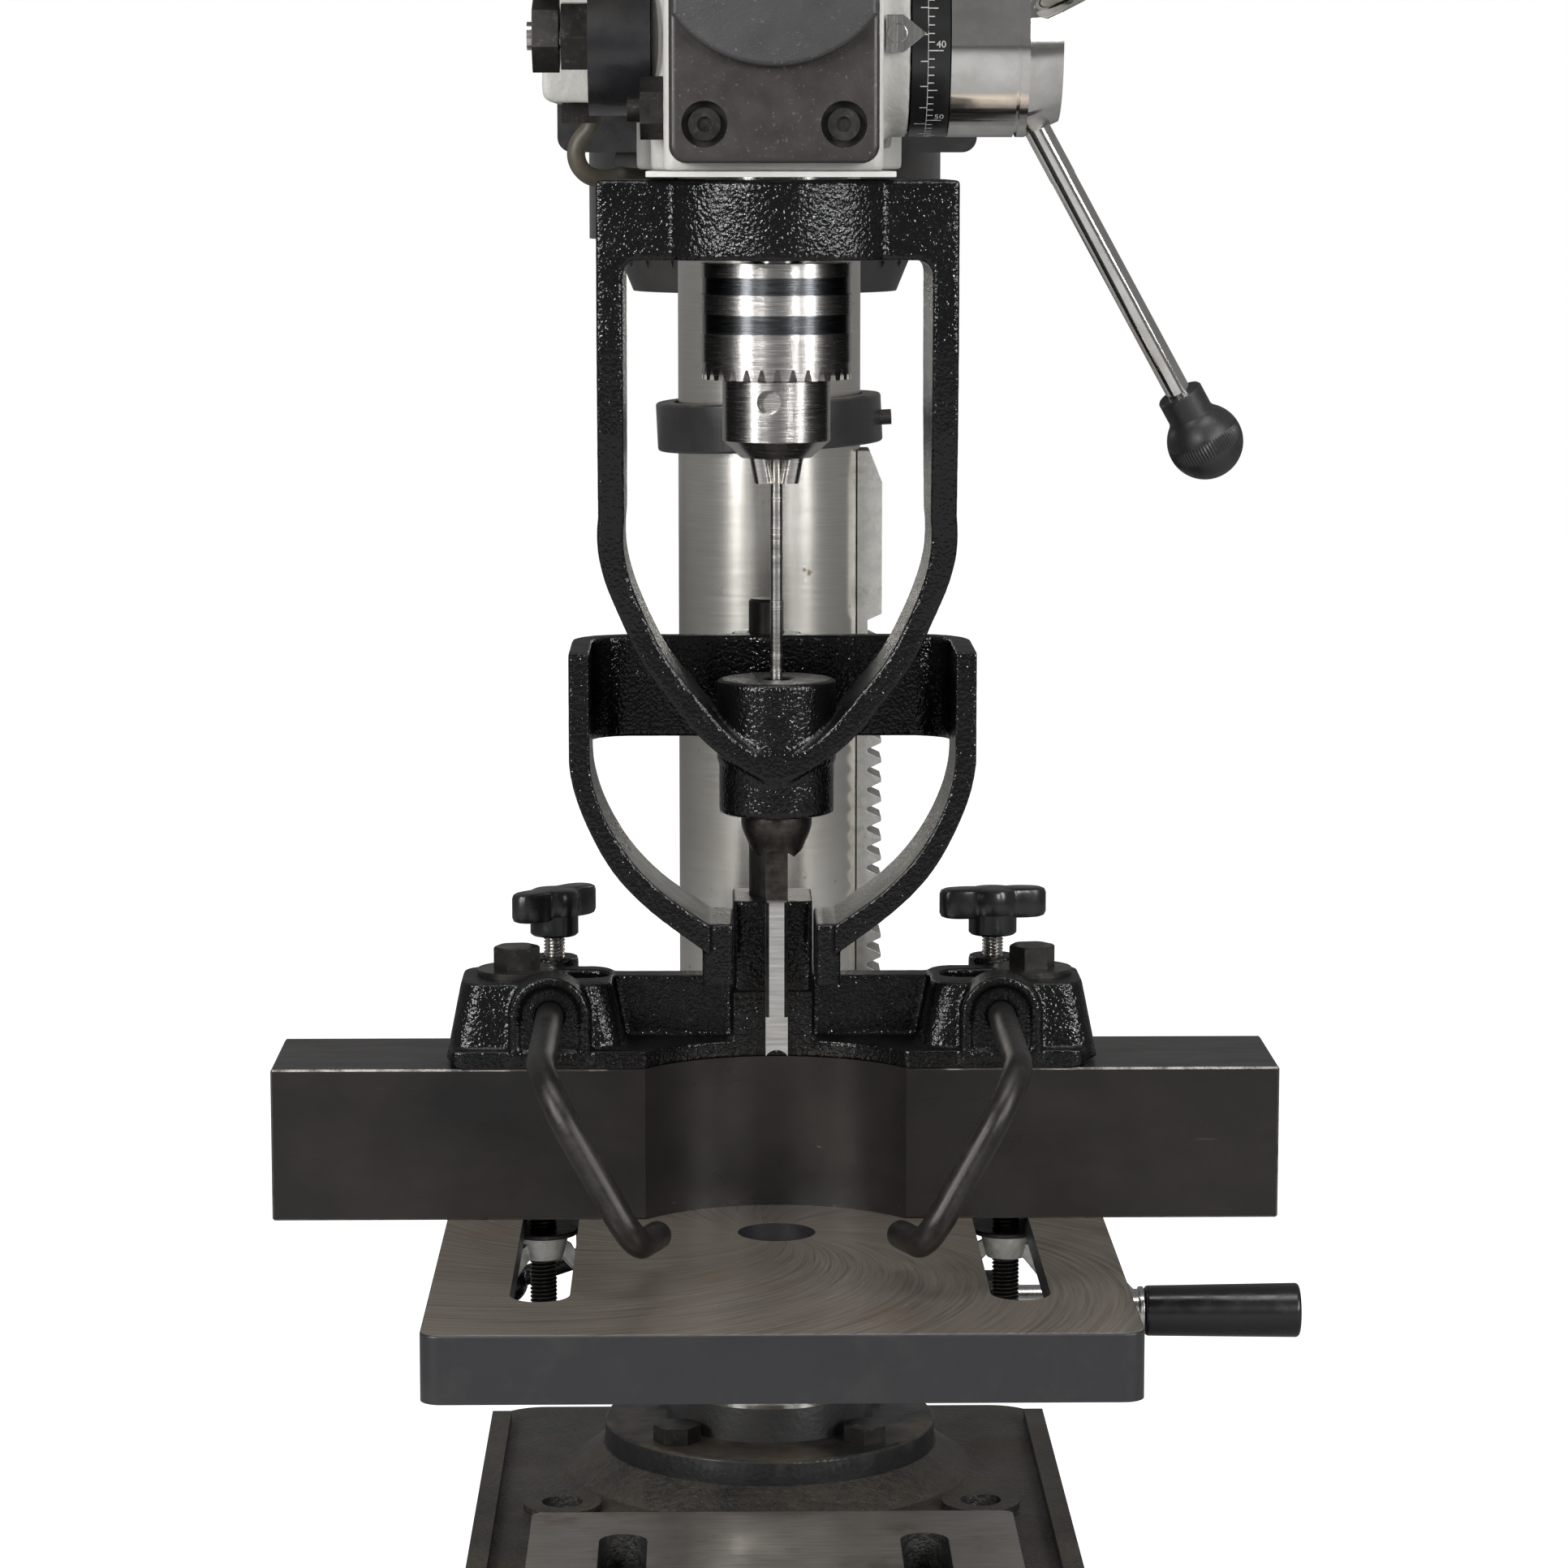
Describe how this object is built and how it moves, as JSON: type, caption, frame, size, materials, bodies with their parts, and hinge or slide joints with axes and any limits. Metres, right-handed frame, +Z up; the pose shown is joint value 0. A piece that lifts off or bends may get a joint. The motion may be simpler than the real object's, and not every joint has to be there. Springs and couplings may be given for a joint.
{
  "type": "drill press",
  "caption": "Bench drill press with a square-chisel mortising attachment: base, column, crank-lifted table with fence and hold-down, and a belt-driven head.",
  "frame": {"origin": "on the bench plane, under the column's axis", "axes": "+Z up along the column, -Y towards the user, +X to the user's right"},
  "size_m": [0.3895, 0.5945, 0.744],
  "materials": {
    "base_paint": "dark grey textured paint, dusty",
    "black_gloss_paint": "gloss black paint over a cast surface",
    "dark_bolts": "oiled dark steel fasteners",
    "column_steel": "ground steel tube",
    "rack_steel": "mottled plated steel",
    "black_satin_paint": "satin black paint",
    "head_paint": "putty grey textured paint",
    "plate_light": "light grey edge",
    "cover_plastic": "dark moulded cover",
    "paddle_plastic": "grained moulded paddle",
    "pointer_steel": "bright pointer",
    "guard_paint": "dark grey sheet metal",
    "belt_rubber": "rubber V-belt",
    "lead_rubber": "round rubber lead",
    "motor_paint": "black motor casing",
    "pulley_alloy": "turned light alloy",
    "table_iron": "ground top, dark painted skirt",
    "bracket_paint": "black painted cast iron",
    "crank_steel": "zinc plated steel",
    "black_plastic": "black moulded plastic",
    "fence_black": "black oxide steel bar",
    "stud_black": "black threaded studs",
    "zinc": "zinc plated",
    "yoke_paint": "gloss black hammered paint",
    "chisel_steel": "ground tool steel with a dark shank",
    "chrome": "polished chrome",
    "ring_black": "black ring with white graduations",
    "chuck_steel": "ground chuck steel",
    "quill_steel": "ground steel",
    "rod_black": "black oxide round bar"
  },
  "bodies": {
    "frame": {"base_casting": "base_paint", "column_flange": "black_gloss_paint", "flange_bolts": "dark_bolts", "column_tube": "column_steel", "rack_collar": "black_satin_paint", "head_casting": "head_paint", "head_bottom_plate": "plate_light", "front_cover": "cover_plastic", "cover_screws": "dark_bolts", "depth_pointer": "pointer_steel", "spring_cap": "black_gloss_paint", "return_spring": "crank_steel", "head_studs": "dark_bolts", "belt_guard": "guard_paint", "drive_belt": "belt_rubber", "motor_lead": "lead_rubber"},
    "paddle": {"switch_paddle": "paddle_plastic"},
    "guard_lid": {"belt_guard_lid": "guard_paint"},
    "motor_carriage": {"motor_mount": "black_gloss_paint", "motor_mount_bolts": "dark_bolts", "motor_body": "motor_paint"},
    "rotor": {"motor_shaft": "quill_steel", "motor_pulley": "pulley_alloy"},
    "drive_pulley": {"spindle_pulley": "pulley_alloy"},
    "quill_slide": {"quill": "quill_steel", "quill_bearings": "quill_steel", "yoke": "yoke_paint", "mortise_chisel": "chisel_steel"},
    "spindle_turning": {"spindle": "quill_steel", "chuck_body": "chuck_steel", "chuck_sleeve": "chuck_steel", "chuck_jaws": "chuck_steel", "auger_bit": "chuck_steel"},
    "feed": {"pinion_shaft": "quill_steel", "feed_hub": "chrome", "feed_levers": "chrome", "lever_knobs": "black_plastic", "jam_nuts": "dark_bolts"},
    "scale_ring": {"depth_ring": "ring_black"},
    "rack_swing": {"rack": "rack_steel"},
    "table_carriage": {"table_bracket": "bracket_paint", "tilt_bolt": "dark_bolts"},
    "column_clamp": {"clamp_lever": "bracket_paint"},
    "lift_gear": {"lift_pinion": "crank_steel"},
    "crank_turning": {"crank": "crank_steel"},
    "grip": {"crank_grip": "black_plastic"},
    "table_plate": {"table": "table_iron"},
    "fence_assembly": {"fence": "fence_black", "fence_studs": "stud_black", "guide_casting": "yoke_paint", "guide_bolts": "dark_bolts", "guide_post": "rod_black"},
    "left_wing_nut": {"wing_nut_left": "zinc"},
    "right_wing_nut": {"wing_nut_right": "zinc"},
    "hold_down_slide": {"hold_down": "yoke_paint"},
    "hold_down_screw": {"hold_down_lock": "black_plastic"},
    "left_hook": {"hook_rod_left": "rod_black"},
    "right_hook": {"hook_rod_right": "rod_black"},
    "left_knob": {"rod_knob_left": "black_plastic"},
    "right_knob": {"rod_knob_right": "black_plastic"}
  },
  "joints": [
    {"name": "paddle_swing", "type": "hinge", "parent": "frame", "child": "paddle", "pos_m": [-0.0015, -0.2655, 0.6645], "axis": [-1, 0, 0], "range_deg": [0, 25]},
    {"name": "guard_lid_swing", "type": "hinge", "parent": "frame", "child": "guard_lid", "pos_m": [0, 0.2455, 0.704], "axis": [-1, 0, 0], "range_deg": [0, 75]},
    {"name": "motor_tension", "type": "slide", "parent": "frame", "child": "motor_carriage", "axis": [0, 1, 0], "range_m": [-0.005, 0], "deforming": ["drive_belt", "motor_lead"]},
    {"name": "motor_spin", "type": "hinge", "parent": "motor_carriage", "child": "rotor", "pos_m": [0, 0.145, 0.6], "axis": [0, 0, 1], "continuous": true},
    {"name": "pulley_spin", "type": "hinge", "parent": "frame", "child": "drive_pulley", "pos_m": [0, -0.2, 0.69], "axis": [0, 0, 1], "continuous": true},
    {"name": "quill_feed", "type": "slide", "parent": "frame", "child": "quill_slide", "axis": [0, 0, -1], "range_m": [0, 0.038], "stiffness_N_per_m": 700, "springref_m": -0.12},
    {"name": "spindle_spin", "type": "hinge", "parent": "quill_slide", "child": "spindle_turning", "pos_m": [0, -0.2, 0.6], "axis": [0, 0, 1], "continuous": true},
    {"name": "feed_turn", "type": "hinge", "parent": "frame", "child": "feed", "pos_m": [0, -0.167, 0.6066], "axis": [1, 0, 0], "range_deg": [0, 182]},
    {"name": "depth_ring_turn", "type": "hinge", "parent": "feed", "child": "scale_ring", "pos_m": [0.054, -0.167, 0.6066], "axis": [1, 0, 0], "range_deg": [-178, 178]},
    {"name": "table_swivel", "type": "hinge", "parent": "frame", "child": "rack_swing", "pos_m": [0, 0, 0.13], "axis": [0, 0, 1], "range_deg": [-2, 0.7]},
    {"name": "table_lift", "type": "slide", "parent": "rack_swing", "child": "table_carriage", "axis": [0, 0, -1], "range_m": [-0.008, 0.018]},
    {"name": "column_clamp_turn", "type": "hinge", "parent": "table_carriage", "child": "column_clamp", "pos_m": [-0.064, 0, 0.132], "axis": [0, 1, 0], "range_deg": [-30, 30]},
    {"name": "lift_pinion_turn", "type": "hinge", "parent": "table_carriage", "child": "lift_gear", "pos_m": [0.0569, 0, 0.13], "axis": [0, 1, 0], "range_deg": [-70, 70]},
    {"name": "crank_turn", "type": "hinge", "parent": "table_carriage", "child": "crank_turning", "pos_m": [0.1, 0, 0.1046], "axis": [1, 0, 0], "range_deg": [-840, 840]},
    {"name": "grip_spin", "type": "hinge", "parent": "crank_turning", "child": "grip", "pos_m": [0.175, -0.073, 0.1176], "axis": [1, 0, 0], "continuous": true},
    {"name": "table_tilt", "type": "hinge", "parent": "table_carriage", "child": "table_plate", "pos_m": [0, -0.11, 0.132], "axis": [0, -1, 0], "range_deg": [-2.5, 0.5]},
    {"name": "fence_slide", "type": "slide", "parent": "table_plate", "child": "fence_assembly", "axis": [0, -1, 0], "range_m": [-0.03, 0.003]},
    {"name": "left_wing_nut_turn", "type": "hinge", "parent": "fence_assembly", "child": "left_wing_nut", "pos_m": [-0.086, -0.15, 0.16], "axis": [0, 0, 1], "range_deg": [-360, 0]},
    {"name": "right_wing_nut_turn", "type": "hinge", "parent": "fence_assembly", "child": "right_wing_nut", "pos_m": [0.086, -0.15, 0.16], "axis": [0, 0, 1], "range_deg": [-360, 0]},
    {"name": "hold_down_height", "type": "slide", "parent": "fence_assembly", "child": "hold_down_slide", "axis": [0, 0, -1], "range_m": [-0.008, 0.04]},
    {"name": "hold_down_lock_turn", "type": "hinge", "parent": "hold_down_slide", "child": "hold_down_screw", "pos_m": [-0.003, -0.12, 0.373], "axis": [0, 1, 0], "range_deg": [-360, 0]},
    {"name": "left_hook_slide", "type": "slide", "parent": "fence_assembly", "child": "left_hook", "axis": [0, 1, 0], "range_m": [-0.03, 0.076]},
    {"name": "right_hook_slide", "type": "slide", "parent": "fence_assembly", "child": "right_hook", "axis": [0, 1, 0], "range_m": [-0.03, 0.076]},
    {"name": "left_knob_turn", "type": "hinge", "parent": "fence_assembly", "child": "left_knob", "pos_m": [-0.082, -0.124, 0.28], "axis": [0, 0, 1], "range_deg": [-360, 0]},
    {"name": "right_knob_turn", "type": "hinge", "parent": "fence_assembly", "child": "right_knob", "pos_m": [0.082, -0.124, 0.28], "axis": [0, 0, 1], "range_deg": [-360, 0]}
  ],
  "couplings": [
    {"joint": "pulley_spin", "follows": "motor_spin", "ratio": 0.86364},
    {"joint": "spindle_spin", "follows": "motor_spin", "ratio": 0.86364},
    {"joint": "feed_turn", "follows": "quill_feed", "rad_per_m": 83.333},
    {"joint": "lift_pinion_turn", "follows": "table_lift", "rad_per_m": 66.667},
    {"joint": "crank_turn", "follows": "table_lift", "rad_per_m": 800}
  ]
}
